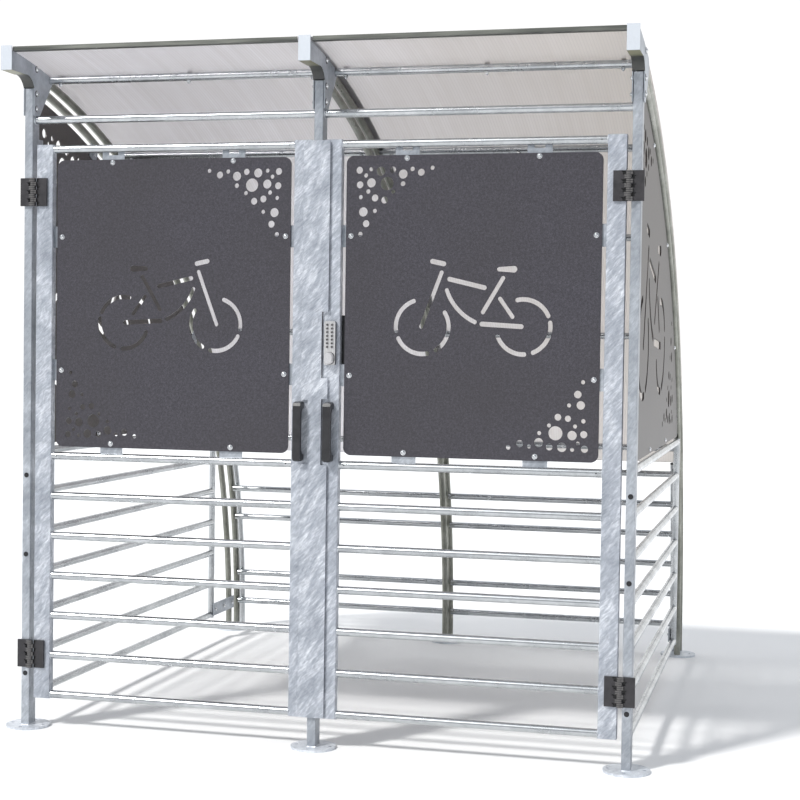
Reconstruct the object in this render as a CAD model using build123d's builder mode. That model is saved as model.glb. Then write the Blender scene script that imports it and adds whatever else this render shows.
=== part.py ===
"""Lockable bike shelter with two hinged gates, sheet roof and perforated panels.

Frame: X to the right, Y to the back, Z up. Origin on the floor, halfway between
the outer front posts, in the plane of the posts' front faces. Millimetres.
"""
from build123d import *
import math
import os

os.makedirs("parts", exist_ok=True)

# ---------------------------------------------------------------- dimensions
width = 2100.0            # over the two outer front posts
post_w, post_d, post_t = 30.0, 50.0, 2.0
post_x = width / 2 - post_w / 2          # 1035
post_top = 2195.0
tube_d, tube_t = 26.9, 2.3               # all round tubes
tube_r = tube_d / 2
rail_t = 2.0

plate_d, plate_t = 150.0, 8.0
plate_pcd, plate_hole = 115.0, 13.0
rear_plate_y = 2073.0
rear_hole_dx = 50.0

# arch tubes: start point, then tangent arcs (from angle, to angle, radius);
# the angle is the slope below the horizontal, 90 means straight down
arch_outer = (-20.0, 2264.9, ((8.9, 31.91, 3174.9), (31.91, 67.96, 2018.6), (67.96, 90.0, 2103.5)))
arch_inner = (0.0, 2219.4, ((10.6, 33.49, 3078.8), (33.49, 68.78, 1928.3), (68.78, 90.0, 2297.2)))
arch_xs = (-post_x, 0.0, post_x)

sheet_t = 10.0
sheet_front_angle = 6.42                 # slope of the sheet at its front edge
sheet_end_angle = 68.6                   # slope where the sheet ends above the rear rails
sheet_gap = 4.0                          # half the joint between the two sheets

bracket_w, bracket_in = 40.0, 34.0
bracket_front = -163.0

door_z0, door_z1 = 105.0, 2003.0
stile_w, stile_d, stile_t = 60.0, 30.0, 2.0
stile_out_x = 1004.0                     # outer edge of the hinge stile
stile_in_x = 21.0                        # inner edge of the meeting stile
rail_y = 15.0
door_rail_z = (942.0, 804.6, 667.2, 529.8, 392.4, 255.0, 118.45)
top_rail_z = 1988.0
panel_t = 6.0
panel_x0, panel_x1 = 95.0, 930.0
panel_z0, panel_z1 = 975.0, 1950.0
panel_y = 9.0                            # front face of the gate panels
panel_r = 25.0
clip_t = 3.0

side_rail_z = (950.5, 810.5, 670.5, 530.5, 390.5, 250.5, 110.5)
side_upright_y = 1788.0
side_panel_t = 6.0
side_panel_gap = 35.0                    # panel edge to the centre line of the inner arch tube
side_panel_y0, side_panel_z0 = 60.0, 975.0

rear_rail_z = (800.0, 666.5, 533.0, 399.5, 266.0, 132.5)
rear_upright_dx = 29.0

hinge_x, hinge_y = 1012.0, -10.0
hinge_zs = (258.0, 1842.0)
hinge_h, hinge_half = 95.0, 48.5
knuckle_r, pin_r = 9.3, 4.0


def arc_path(spec, off=0.0, first=None, last=None):
    """Start, middle and end points of each tangent arc, offset outwards by off."""
    y, z, arcs = spec
    out = []
    for i, (a, b, r) in enumerate(arcs):
        a0, b0 = math.radians(a), math.radians(b)
        cy, cz = y - r * math.sin(a0), z - r * math.cos(a0)
        s = math.radians(first) if (first is not None and i == 0) else a0
        e = b0
        stop = False
        if last is not None and last < b:
            e, stop = math.radians(last), True
        q = r + off
        pts = [(cy + q * math.sin(t), cz + q * math.cos(t)) for t in (s, (s + e) / 2, e)]
        out.append(pts)
        if stop:
            return out
        y, z = cy + r * math.sin(b0), cz + r * math.cos(b0)
    return out


def arch_z(spec, y_want, off=0.0):
    """Height and slope of an arch centre line at a given Y."""
    y, z, arcs = spec
    for a, b, r in arcs:
        a0, b0 = math.radians(a), math.radians(b)
        cy, cz = y - r * math.sin(a0), z - r * math.cos(a0)
        y1, z1 = cy + r * math.sin(b0), cz + r * math.cos(b0)
        if y_want <= cy + (r + off) * math.sin(b0) or b == 90.0:
            t = math.asin(min(1.0, (y_want - cy) / (r + off)))
            return cz + (r + off) * math.cos(t), math.degrees(t)
        y, z = y1, z1
    return z, 90.0



# ---------------------------------------------------------------- cut-outs of the panels
# round holes (x, z, diameter) of the two corner clusters, x from the middle of the shelter
bubbles_top = (
    (381, 1908, 14), (344, 1894, 23), (315, 1905, 15), (284, 1889, 30), (284, 1858, 16), (250, 1903, 21),
    (210, 1899, 30), (177, 1906, 14), (160, 1886, 14), (138, 1903, 23), (231, 1859, 44), (178, 1862, 30),
    (140, 1856, 23), (252, 1833, 14), (168, 1834, 15), (143, 1816, 14), (223, 1806, 23), (191, 1813, 23),
    (191, 1771, 14), (152, 1768, 30), (162, 1730, 23), (143, 1696, 16),
)
bubbles_low = (
    (878, 1228, 13), (862, 1189, 24), (872, 1155, 27), (835, 1154, 13), (881, 1105, 14), (832, 1112, 20),
    (800, 1116, 22), (855, 1088, 13), (772, 1089, 13), (883, 1063, 23), (846, 1059, 30), (793, 1065, 45),
    (741, 1064, 13), (865, 1034, 13), (886, 1017, 23), (847, 1014, 13), (814, 1021, 30), (774, 1021, 22),
    (740, 1034, 29), (709, 1021, 13), (679, 1029, 23), (642, 1016, 15),
)
wheel_front, wheel_rear, wheel_r = (354.0, 1397.0), (684.0, 1400.0), 87.5
# straight slots: end centres and width
bike_slots = (
    ((385, 1608), (423, 1600), 16.0),      # handlebar
    ((416, 1572), (351, 1398), 14.0),      # steering tube and fork
    ((442, 1551), (557, 1524), 15.0),      # top tube
    ((617, 1555), (553, 1446), 14.0),      # seat tube
    ((608, 1489), (649, 1432), 13.5),      # seat stay
    ((550, 1408), (678, 1401), 15.5),      # chain stay
)
saddle = ((604, 1583), 14.0, (652, 1583), 21.0)                  # slot that widens to the back
bike_curve = ((434, 1515), (471, 1454), (527, 1414), 14.0)       # down tube
# wheel rims as separate arcs: wheel, start angle, end angle (anticlockwise from +x)
rim_arcs = (
    (wheel_front, 109.0, 190.0), (wheel_front, 206.0, 282.0), (wheel_front, -58.0, 32.0),
    (wheel_rear, 24.0, 103.0), (wheel_rear, -68.0, 9.0), (wheel_rear, 201.0, 273.0),
)
rim_w = 14.5


def cut_outs(place, k, kb):
    """Adds the holes to the sketch in use; place turns a point of the gate drawing into the panel's own."""
    for pts in (bubbles_top, bubbles_low):
        for x, z, d in pts:
            with Locations(place(x, z, "top" if pts is bubbles_top else "low")):
                Circle(d * kb / 2, mode=Mode.SUBTRACT)
    for a, b, w in bike_slots:
        pa, pb = place(*a, "bike"), place(*b, "bike")
        mid = ((pa[0] + pb[0]) / 2, (pa[1] + pb[1]) / 2)
        turn = math.degrees(math.atan2(pb[1] - pa[1], pb[0] - pa[0]))
        with Locations(Location((mid[0], mid[1], 0), (0, 0, turn))):
            SlotCenterToCenter(math.dist(pa, pb), w * k, mode=Mode.SUBTRACT)
    a, wa, b, wb = saddle
    with BuildSketch(mode=Mode.PRIVATE) as seat:
        for p, w in ((place(*a, "bike"), wa), (place(*b, "bike"), wb)):
            with Locations(p):
                Circle(w * k / 2)
        make_hull()
    add(seat.sketch, mode=Mode.SUBTRACT)
    a, m, b, w = bike_curve
    with BuildLine(mode=Mode.PRIVATE) as down_tube:
        ThreePointArc(place(*a, "bike"), place(*m, "bike"), place(*b, "bike"))
    SlotArc(down_tube.edges()[0], w * k, mode=Mode.SUBTRACT)
    for c, t0, t1 in rim_arcs:
        rim = [(c[0] + wheel_r * math.cos(math.radians(t)), c[1] + wheel_r * math.sin(math.radians(t))) for t in (t0, (t0 + t1) / 2, t1)]
        with BuildLine(mode=Mode.PRIVATE) as piece:
            ThreePointArc(*[place(*p, "bike") for p in rim])
        SlotArc(piece.edges()[0], rim_w * k, mode=Mode.SUBTRACT)


side_k = 1.88                              # the side panels carry the same drawing, larger


def side_place(x, z, group):
    if group == "top":                     # the cluster follows the falling top edge
        u, v = (x - 138.0) * 1.55, (z - 1908.0) * 1.5
        return side_panel_y0 + 52.0 + u, 2065.0 + v - 0.24 * u
    if group == "low":                     # and this one leans forward with the rear edge
        return 1560.0 + (x - panel_x1) * 1.8 - 0.55 * max(0.0, z - 1050.0), side_panel_z0 + 8.0 + (z - panel_z0) * 1.8
    return 285.0 + (x - wheel_front[0]) * side_k, 1342.0 + (z - wheel_front[1]) * side_k


# ---------------------------------------------------------------- ground plates
with BuildPart() as foot_plates:
    with BuildSketch(Plane.XY):
        with Locations(*[(x, post_d / 2) for x in arch_xs], *[(x, rear_plate_y) for x in arch_xs]):
            Circle(plate_d / 2)
        with Locations(*[(x, post_d / 2) for x in arch_xs]):
            with PolarLocations(plate_pcd / 2, 4):
                Circle(plate_hole / 2, mode=Mode.SUBTRACT)
        with Locations(*[(x + s * rear_hole_dx, rear_plate_y) for x in arch_xs for s in (-1, 1)]):
            Circle(plate_hole / 2, mode=Mode.SUBTRACT)
    extrude(amount=plate_t)
foot_plates.part.label = "foot_plates"
export_step(foot_plates.part, "parts/foot_plates.step")

# ---------------------------------------------------------------- front posts
for name, x in (("post_left", -post_x), ("post_centre", 0.0), ("post_right", post_x)):
    with BuildPart() as post:
        with BuildSketch(Plane.XY.offset(plate_t)):
            with Locations((x, post_d / 2)):
                RectangleRounded(post_w, post_d, 3.0)
        extrude(amount=post_top - plate_t)
        with BuildSketch(Plane.XY.offset(plate_t)):
            with Locations((x, post_d / 2)):
                RectangleRounded(post_w - 2 * post_t, post_d - 2 * post_t, 1.5)
        extrude(amount=post_top - plate_t - 3.0, mode=Mode.SUBTRACT)
    post.part.label = name
    export_step(post.part, f"parts/{name}.step")

# ---------------------------------------------------------------- roof brackets
roof_line = [(y, arch_z(arch_outer, y, tube_r)[0] - 0.8) for y in (-150.0, -90.0, -30.0, 30.0, 90.0)]
bracket_side = [
    (bracket_front, 2232.0), (bracket_front, roof_line[0][1]), *roof_line, (112.0, 2253.0),
    (133.0, 2228.0), (112.0, 2200.0), (40.0, 2104.0), (0.0, 2104.0), (0.0, 2196.0),
]
boss_pts = ((17.0, 2128.0), (17.0, 2179.0))
for name, x in (("bracket_left", -post_x), ("bracket_centre", 0.0), ("bracket_right", post_x)):
    with BuildPart() as bracket:
        with BuildSketch(Plane.YZ.offset(x - bracket_w / 2)):
            with BuildLine():
                Polyline(*bracket_side)
                ThreePointArc(bracket_side[-1], (-19.0, 2221.0), (-68.0, 2232.0))
                Line((-68.0, 2232.0), bracket_side[0])
            make_face()
        extrude(amount=bracket_w)
        # open channel between the two side plates, behind the front lip and the curved strap
        with BuildSketch(Plane.YZ.offset(x - bracket_in / 2)):
            with BuildLine():
                Polyline((140.0, 2090.0), (-1.0, 2090.0), (-1.0, 2200.0))
                ThreePointArc((-1.0, 2200.0), (-20.0, 2224.5), (-68.0, 2235.5))
                Polyline((-68.0, 2235.5), (bracket_front + 3.0, 2235.5), (bracket_front + 3.0, 2320.0),
                         (140.0, 2320.0), (140.0, 2090.0))
            make_face()
        extrude(amount=bracket_in, mode=Mode.SUBTRACT)
        # front lip, up to the top of the roof edge
        with BuildSketch(Plane.XZ.offset(-bracket_front - 3.0)):
            with Locations((x, 2272.0)):
                Rectangle(bracket_w, 80.0)
        extrude(amount=3.0)
        # bosses that meet the sides of the post
        for s in (-1, 1):
            with BuildSketch(Plane.YZ.offset(x + s * (post_w / 2 + 1.0) - 1.0)):
                with Locations(*boss_pts):
                    Circle(11.0)
            extrude(amount=2.0)
    bracket.part.label = name
    export_step(bracket.part, f"parts/{name}.step")

# ---------------------------------------------------------------- arch tubes
for base, spec in (("arch_outer", arch_outer), ("arch_inner", arch_inner)):
    for side, x in (("left", -post_x), ("centre", 0.0), ("right", post_x)):
        with BuildPart() as arch:
            with BuildLine(Plane.YZ.offset(x)) as run:
                pts = arc_path(spec)
                for p in pts:
                    ThreePointArc(*p)
                Line(pts[-1][2], (pts[-1][2][0], plate_t))
            with BuildSketch(Plane(origin=run.wires()[0] @ 0, z_dir=run.wires()[0] % 0)):
                Circle(tube_r)
                Circle(tube_r - tube_t, mode=Mode.SUBTRACT)
            sweep()
        arch.part.label = f"{base}_{side}"
        export_step(arch.part, f"parts/{base}_{side}.step")

# ---------------------------------------------------------------- rails and purlins across the bays
bays = ((-post_x, 0.0), (0.0, post_x))
with BuildPart() as head_rails:
    for x0, x1 in bays:
        with BuildSketch(Plane.YZ.offset(x0 + post_w / 2)):
            with Locations((post_d / 2, 2090.0)):
                Circle(tube_r)
                Circle(tube_r - rail_t, mode=Mode.SUBTRACT)
        extrude(amount=x1 - x0 - post_w)
head_rails.part.label = "head_rails"
export_step(head_rails.part, "parts/head_rails.step")

purlin_ys = (118.0, 730.0, 1250.0, 1660.0, 1952.0)
with BuildPart() as purlins:
    for i, y in enumerate(purlin_ys):
        z, slope = arch_z(arch_outer, y, -0.1)
        clear = bracket_w / 2 if i == 0 else tube_r
        for x0, x1 in bays:
            with BuildSketch(Plane.YZ.offset(x0 + clear)):
                with Locations((y, z)):
                    Circle(tube_r)
                    Circle(tube_r - rail_t, mode=Mode.SUBTRACT)
            extrude(amount=x1 - x0 - 2 * clear)
purlins.part.label = "purlins"
export_step(purlins.part, "parts/purlins.step")

# ---------------------------------------------------------------- roof sheets, front profiles, joint cover
under, upper = tube_r, tube_r + sheet_t
for name, x0, x1 in (("roof_sheet_left", -post_x - tube_r, -sheet_gap), ("roof_sheet_right", sheet_gap, post_x + tube_r)):
    with BuildPart() as sheet:
        with BuildSketch(Plane.YZ.offset(x0)):
            with BuildLine():
                low = arc_path(arch_outer, under, sheet_front_angle, sheet_end_angle)
                top = arc_path(arch_outer, upper, sheet_front_angle, sheet_end_angle)
                for p in low:
                    ThreePointArc(*p)
                for p in top:
                    ThreePointArc(*p)
                Line(low[0][0], top[0][0])
                Line(low[-1][2], top[-1][2])
            make_face()
        extrude(amount=x1 - x0)
    sheet.part.label = name
    export_step(sheet.part, f"parts/{name}.step")

edge_low, edge_top = low[0][0], top[0][0]
with BuildPart() as roof_front_profiles:
    fa = math.radians(sheet_front_angle)
    ux, uz = -math.cos(fa), math.sin(fa)          # forwards along the sheet
    nx, nz = math.sin(fa), math.cos(fa)           # up across the sheet
    for x0, x1 in ((-post_x + 21.0, -25.5), (25.5, post_x - 21.0)):
        with BuildSketch(Plane.YZ.offset(x0)):
            with BuildLine():
                # channel round the edge: along the sheet by a, across it by b
                Polyline(*[(edge_low[0] + a * ux + b * nx, edge_low[1] + a * uz + b * nz) for a, b in (
                    (0.0, -0.1), (-14.0, -0.1), (-14.0, -2.1), (3.0, -2.1), (3.0, sheet_t + 2.1), (-14.0, sheet_t + 2.1),
                    (-14.0, sheet_t + 0.1), (0.0, sheet_t + 0.1))], close=True)
            make_face()
        extrude(amount=x1 - x0)
roof_front_profiles.part.label = "roof_front_profiles"
export_step(roof_front_profiles.part, "parts/roof_front_profiles.step")

with BuildPart() as roof_joint_cover:
    with BuildSketch(Plane.YZ.offset(-25.0)):
        with BuildLine():
            low_c = arc_path(arch_outer, upper, sheet_front_angle, sheet_end_angle)
            top_c = arc_path(arch_outer, upper + 2.5, sheet_front_angle, sheet_end_angle)
            for p in low_c:
                ThreePointArc(*p)
            for p in top_c:
                ThreePointArc(*p)
            Line(low_c[0][0], top_c[0][0])
            Line(low_c[-1][2], top_c[-1][2])
        make_face()
    extrude(amount=50.0)
roof_joint_cover.part.label = "roof_joint_cover"
export_step(roof_joint_cover.part, "parts/roof_joint_cover.step")

# ---------------------------------------------------------------- side frames
with BuildPart() as side_uprights:
    with BuildSketch(Plane.XY.offset(side_rail_z[-1] - tube_r)):
        with Locations((-post_x, side_upright_y), (post_x, side_upright_y)):
            Circle(tube_r)
            Circle(tube_r - rail_t, mode=Mode.SUBTRACT)
    extrude(amount=side_rail_z[0] - side_rail_z[-1] + 2 * tube_r)
side_uprights.part.label = "side_uprights"
export_step(side_uprights.part, "parts/side_uprights.step")

for name, x in (("side_rails_left", -post_x), ("side_rails_right", post_x)):
    with BuildPart() as rails:
        with BuildSketch(Plane.XZ.offset(-post_d)):
            with Locations(*[(x, z) for z in side_rail_z]):
                Circle(tube_r)
                Circle(tube_r - rail_t, mode=Mode.SUBTRACT)
        extrude(amount=-(side_upright_y - post_d))
        with BuildSketch(Plane.XY):
            with Locations((x, side_upright_y)):
                Circle(tube_r)
        extrude(amount=1100.0, mode=Mode.SUBTRACT)
    rails.part.label = name
    export_step(rails.part, f"parts/{name}.step")

for name, x in (("side_panel_left", -post_x), ("side_panel_right", post_x)):
    with BuildPart() as panel:
        with BuildSketch(Plane.YZ.offset(x - side_panel_t / 2)):
            with BuildLine():
                edge = arc_path(arch_inner, -side_panel_gap)
                for p in edge:
                    ThreePointArc(*p)
                Polyline(edge[-1][2], (-300.0, edge[-1][2][1]), (-300.0, edge[0][0][1]), edge[0][0])
            make_face()
            with Locations((side_panel_y0 + 1200.0, side_panel_z0 + 900.0)):
                Rectangle(2400.0, 1800.0, mode=Mode.INTERSECT)
            fillet(vertices().sort_by(Axis.Y)[:2], panel_r)
            cut_outs(side_place, side_k, 1.5)
        extrude(amount=side_panel_t)
    panel.part.label = name
    export_step(panel.part, f"parts/{name}.step")

# flat clips that hold the side panels to the posts and to the inner arch tubes
with BuildPart() as side_clips:
    for s in (-1, 1):
        xp = s * (post_x - side_panel_t / 2 - clip_t / 2)
        with BuildSketch(Plane.YZ.offset(xp - clip_t / 2)):
            with Locations(*[(post_d + 22.5, z) for z in (1100.0, 1550.0, 2000.0)]):
                Rectangle(45.0, 60.0)
        extrude(amount=clip_t)
        for y in (520.0, 1120.0, 1560.0):
            zc, a = arch_z(arch_inner, y)
            with BuildSketch(Plane.YZ.offset(xp - clip_t / 2)):
                with Locations(Location((y - 39.7 * math.sin(math.radians(a)), zc - 39.7 * math.cos(math.radians(a))), -a)):
                    Rectangle(60.0, 52.0)
            extrude(amount=clip_t)
side_clips.part.label = "side_clips"
export_step(side_clips.part, "parts/side_clips.step")

# ---------------------------------------------------------------- rear rails
outer_foot_y = arc_path(arch_outer)[-1][2][0]
inner_foot_y = arc_path(arch_inner)[-1][2][0]
def rear_arc(off, z):
    """Y of the lowest arc of the outer tube, offset by off, and the slope there."""
    y, z0, arcs = arch_outer
    for a, b, r in arcs:
        cy, cz = y - r * math.sin(math.radians(a)), z0 - r * math.cos(math.radians(a))
        y, z0 = cy + r * math.sin(math.radians(b)), cz + r * math.cos(math.radians(b))
    t = math.acos(max(0.0, (z - cz) / (r + off)))
    return cy + (r + off) * math.sin(t), math.degrees(t), (cy, cz, r)


for_top = rear_arc(0.0, 845.0)
with BuildPart() as rear_uprights:
    for s in (-1, 1):
        cy, cz, r = for_top[2]
        t0 = math.radians(for_top[1])
        with BuildLine(Plane.YZ.offset(s * (post_x - rear_upright_dx))) as run:
            ThreePointArc(*[(cy + r * math.sin(t), cz + r * math.cos(t)) for t in (t0, (t0 + math.pi / 2) / 2, math.pi / 2)])
            Line((cy + r, cz), (cy + r, plate_t))
        with BuildSketch(Plane(origin=run.wires()[0] @ 0, z_dir=run.wires()[0] % 0)):
            Circle(tube_r)
            Circle(tube_r - rail_t, mode=Mode.SUBTRACT)
        sweep()
rear_uprights.part.label = "rear_uprights"
export_step(rear_uprights.part, "parts/rear_uprights.step")

with BuildPart() as rear_rails:
    for x0, x1 in ((-post_x + rear_upright_dx - tube_r + 5.0, -tube_r - 3.0), (tube_r - 4.0, post_x - rear_upright_dx + tube_r - 5.0)):
        with BuildSketch(Plane.YZ.offset(x0)):
            with Locations(*[(rear_arc(-tube_d, z)[0], z) for z in rear_rail_z]):
                Circle(tube_r)
                Circle(tube_r - rail_t, mode=Mode.SUBTRACT)
        extrude(amount=x1 - x0)
rear_rails.part.label = "rear_rails"
export_step(rear_rails.part, "parts/rear_rails.step")

# bolted lugs near the floor that tie side frames, arch tubes and rear uprights together
with BuildPart() as foot_clamps:
    for s in (-1, 1):
        x0 = s * (post_x - tube_r - 3.0)
        with BuildSketch(Plane.YZ.offset(x0 - 3.0)):
            with Locations(((side_upright_y + inner_foot_y) / 2, 135.0)):
                Rectangle(inner_foot_y - side_upright_y + 24.0, 55.0)
        extrude(amount=6.0)
foot_clamps.part.label = "foot_clamps"
export_step(foot_clamps.part, "parts/foot_clamps.step")

# ---------------------------------------------------------------- hinges: fixed leaves with pins, gate leaves with bores
n_knuckle, knuckle_gap = 7, 0.5
knuckle_h = (hinge_h - (n_knuckle - 1) * knuckle_gap) / n_knuckle
web_y = (-16.0, -3.0)


def knuckle_z(zc, k):
    return zc - hinge_h / 2 + k * (knuckle_h + knuckle_gap)


def pocket_outlines(hx, side, zc, rows):
    """Flag-shaped pockets in a leaf, each opposite a knuckle of the other leaf."""
    for k in rows:
        z0, x0 = knuckle_z(zc, k), hx + side * 9.0
        outline = [(x0, z0 + 0.6), (x0 + side * 11.0, z0 + 0.6), (x0 + side * 8.5, z0 + 6.0),
                   (x0 + side * 16.0, z0 + knuckle_h - 0.6), (x0, z0 + knuckle_h - 0.6)]
        yield outline[::-side]


with BuildPart() as hinge_post_leaves:
    for s in (-1, 1):
        for zc in hinge_zs:
            with BuildSketch(Plane.XY.offset(zc - hinge_h / 2)):
                with Locations((s * (hinge_x + (10.0 + hinge_half) / 2), -4.0)):
                    Rectangle(hinge_half - 10.0, 8.0)
            extrude(amount=hinge_h)
            with BuildSketch(Plane.XZ.offset(3.5)):
                for outline in pocket_outlines(s * hinge_x, s, zc, (1, 3, 5)):
                    Polygon(*outline, align=None)
            extrude(amount=12.0, mode=Mode.SUBTRACT)
            for k in (0, 2, 4, 6):
                with BuildSketch(Plane.XY.offset(knuckle_z(zc, k))):
                    with Locations((s * hinge_x, hinge_y)):
                        Circle(knuckle_r)
                    with Locations((s * (hinge_x + 6.5), (web_y[0] + web_y[1]) / 2)):
                        Rectangle(13.0, web_y[1] - web_y[0])
                extrude(amount=knuckle_h)
            with BuildSketch(Plane.XY.offset(zc - hinge_h / 2)):
                with Locations((s * hinge_x, hinge_y)):
                    Circle(pin_r)
            extrude(amount=hinge_h)
hinge_post_leaves.part.label = "hinge_post_leaves"
export_step(hinge_post_leaves.part, "parts/hinge_post_leaves.step")

for name, s in (("hinge_gate_leaves_left", -1), ("hinge_gate_leaves_right", 1)):
    with BuildPart() as leaves:
        for zc in hinge_zs:
            with BuildSketch(Plane.XY.offset(zc - hinge_h / 2)):
                with Locations((s * (hinge_x - (10.0 + hinge_half) / 2), -4.0)):
                    Rectangle(hinge_half - 10.0, 8.0)
            extrude(amount=hinge_h)
            with BuildSketch(Plane.XZ.offset(3.5)):
                for outline in pocket_outlines(s * hinge_x, -s, zc, (0, 2, 4, 6)):
                    Polygon(*outline, align=None)
            extrude(amount=12.0, mode=Mode.SUBTRACT)
            for k in (1, 3, 5):
                with BuildSketch(Plane.XY.offset(knuckle_z(zc, k))):
                    with Locations((s * hinge_x, hinge_y)):
                        Circle(knuckle_r)
                    with Locations((s * (hinge_x - 6.5), (web_y[0] + web_y[1]) / 2)):
                        Rectangle(13.0, web_y[1] - web_y[0])
                    with Locations((s * hinge_x, hinge_y)):
                        Circle(pin_r + 0.06, mode=Mode.SUBTRACT)
                extrude(amount=knuckle_h)
    leaves.part.label = name
    export_step(leaves.part, f"parts/{name}.step")

# ---------------------------------------------------------------- gates
for side, s in (("left", -1), ("right", 1)):
    # the two box-section uprights of the gate
    with BuildPart() as stiles:
        centres = [(s * (stile_out_x - stile_w / 2), stile_d / 2), (s * (stile_in_x + stile_w / 2), stile_d / 2)]
        with BuildSketch(Plane.XY.offset(door_z0)):
            with Locations(*centres):
                RectangleRounded(stile_w, stile_d, 3.0)
        extrude(amount=door_z1 - door_z0)
        with BuildSketch(Plane.XY.offset(door_z0)):
            with Locations(*centres):
                RectangleRounded(stile_w - 2 * stile_t, stile_d - 2 * stile_t, 1.5)
        extrude(amount=door_z1 - door_z0 - 2.0, mode=Mode.SUBTRACT)
    stiles.part.label = f"gate_stiles_{side}"
    export_step(stiles.part, f"parts/gate_stiles_{side}.step")

    xa, xb = sorted((s * (stile_in_x + stile_w), s * (stile_out_x - stile_w)))
    with BuildPart() as bars:
        with BuildSketch(Plane.YZ.offset(xa)):
            with Locations(*[(rail_y, z) for z in (top_rail_z,) + door_rail_z]):
                Circle(tube_r)
                Circle(tube_r - rail_t, mode=Mode.SUBTRACT)
        extrude(amount=xb - xa)
    bars.part.label = f"gate_rails_{side}"
    export_step(bars.part, f"parts/gate_rails_{side}.step")

    with BuildPart() as gate_panel:
        with BuildSketch(Plane.XZ.offset(-panel_y)):
            with Locations((s * (panel_x0 + panel_x1) / 2, (panel_z0 + panel_z1) / 2)):
                RectangleRounded(panel_x1 - panel_x0, panel_z1 - panel_z0, panel_r)
            cut_outs(lambda x, z, group: (s * x, z), 1.0, 1.0)
        extrude(amount=-panel_t)
    gate_panel.part.label = f"gate_panel_{side}"
    export_step(gate_panel.part, f"parts/gate_panel_{side}.step")

    # flat clips behind the panel, welded to the rails and uprights
    with BuildPart() as clips:
        clip_y = panel_y + panel_t
        clip_top, clip_low = top_rail_z - tube_r, door_rail_z[0] + tube_r
        with BuildSketch(Plane.XZ.offset(-clip_y)):
            with Locations(*[(s * x, (clip_top + 1925.0) / 2) for x in (297.0, 728.0)]):
                Rectangle(80.0, clip_top - 1925.0)
            with Locations(*[(s * x, (clip_low + 1005.0) / 2) for x in (297.0, 728.0)]):
                Rectangle(80.0, 1005.0 - clip_low)
            with Locations(*[(s * x, clip_top - 2.0) for x in (297.0, 728.0)]):
                Rectangle(34.0, 14.0, mode=Mode.SUBTRACT)
            with Locations(*[(s * (stile_out_x - stile_w - 22.0), z) for z in (1236.0, 1690.0)]):
                Rectangle(44.0, 72.0)
            with Locations(*[(s * (stile_in_x + stile_w + 22.0), z) for z in (1236.0, 1690.0)]):
                Rectangle(44.0, 72.0)
        extrude(amount=-clip_t)
    clips.part.label = f"panel_clips_{side}"
    export_step(clips.part, f"parts/panel_clips_{side}.step")

    # bridge handle: grip bar on two legs
    with BuildPart() as handle:
        hx = s * (stile_in_x + stile_w / 2)
        with BuildSketch(Plane.YZ.offset(hx - 13.0)):
            with BuildLine():
                Polyline((0.0, 952.0), (-30.0, 952.0), (-38.0, 956.0), (-42.0, 966.0), (-42.0, 1134.0), (-38.0, 1144.0),
                         (-30.0, 1148.0), (0.0, 1148.0), (0.0, 1126.0), (-15.0, 1124.0), (-23.0, 1112.0),
                         (-25.0, 1090.0), (-25.0, 1010.0), (-23.0, 988.0), (-15.0, 976.0), (0.0, 974.0), close=True)
            make_face()
        extrude(amount=26.0)
        with BuildSketch(Plane.XZ.offset(-1.0)):
            with Locations((hx, 1050.0)):
                RectangleRounded(26.0, 196.0, 8.0)
        extrude(amount=50.0, mode=Mode.INTERSECT)
    handle.part.label = f"handle_{side}"
    export_step(handle.part, f"parts/handle_{side}.step")

# ---------------------------------------------------------------- closing plate on the right gate, over the meeting gap
plate_y0, plate_th = -9.5, 4.0
with BuildPart() as closing_plate:
    with BuildSketch(Plane.XZ.offset(-plate_y0)):
        with Locations((-1.0, 1053.5)):
            RectangleRounded(90.0, 1893.0, 6.0)
        with Locations((42.0, 1334.0), (43.0, 1049.0)):
            Rectangle(40.0, 196.0 + 20.0, mode=Mode.SUBTRACT)
        with Locations((-43.0, 1048.0)):
            Rectangle(40.0, 210.0, mode=Mode.SUBTRACT)
    extrude(amount=-plate_th)
    with BuildSketch(Plane.XZ.offset(-plate_y0 - plate_th)):
        with Locations((32.5, 557.0), (32.5, 1191.5), (32.5, 1710.0)):
            Rectangle(19.0, 60.0)
    extrude(amount=-(-plate_y0 - plate_th))
closing_plate.part.label = "closing_plate"
export_step(closing_plate.part, "parts/closing_plate.step")

# ---------------------------------------------------------------- push-button lock
lock_x, lock_z0, lock_z1 = stile_in_x + stile_w / 2, 1269.0, 1412.0
with BuildPart() as lock_front:
    with BuildSketch(Plane.XZ):
        with Locations((lock_x, (lock_z0 + lock_z1) / 2)):
            RectangleRounded(38.0, lock_z1 - lock_z0, 5.0)
    extrude(amount=14.0)
    with BuildSketch(Plane.XZ.offset(14.0)):
        with Locations(*[(lock_x + dx, 1400.0 - 12.0 * k) for dx in (-8.0, 8.0) for k in range(7)]):
            Circle(4.2)
    extrude(amount=2.5)
lock_front.part.label = "lock_front"
export_step(lock_front.part, "parts/lock_front.step")

with BuildPart() as lock_case:
    with BuildSketch(Plane.XZ.offset(-stile_d)):
        with Locations((64.0, 1350.0)):
            RectangleRounded(72.0, 164.0, 5.0)
    extrude(amount=-30.0)
lock_case.part.label = "lock_case"
export_step(lock_case.part, "parts/lock_case.step")

knob_z = 1291.0
with BuildPart() as lock_knob:
    with BuildSketch(Plane.XZ.offset(14.4)):
        with Locations((lock_x, knob_z)):
            RectangleRounded(31.0, 38.0, 15.4)
    extrude(amount=9.0)
    with BuildSketch(Plane.XZ.offset(23.4)):
        with Locations((lock_x, knob_z)):
            RectangleRounded(26.0, 33.0, 12.9)
    extrude(amount=8.0)
lock_knob.part.label = "lock_knob"
export_step(lock_knob.part, "parts/lock_knob.step")
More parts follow.
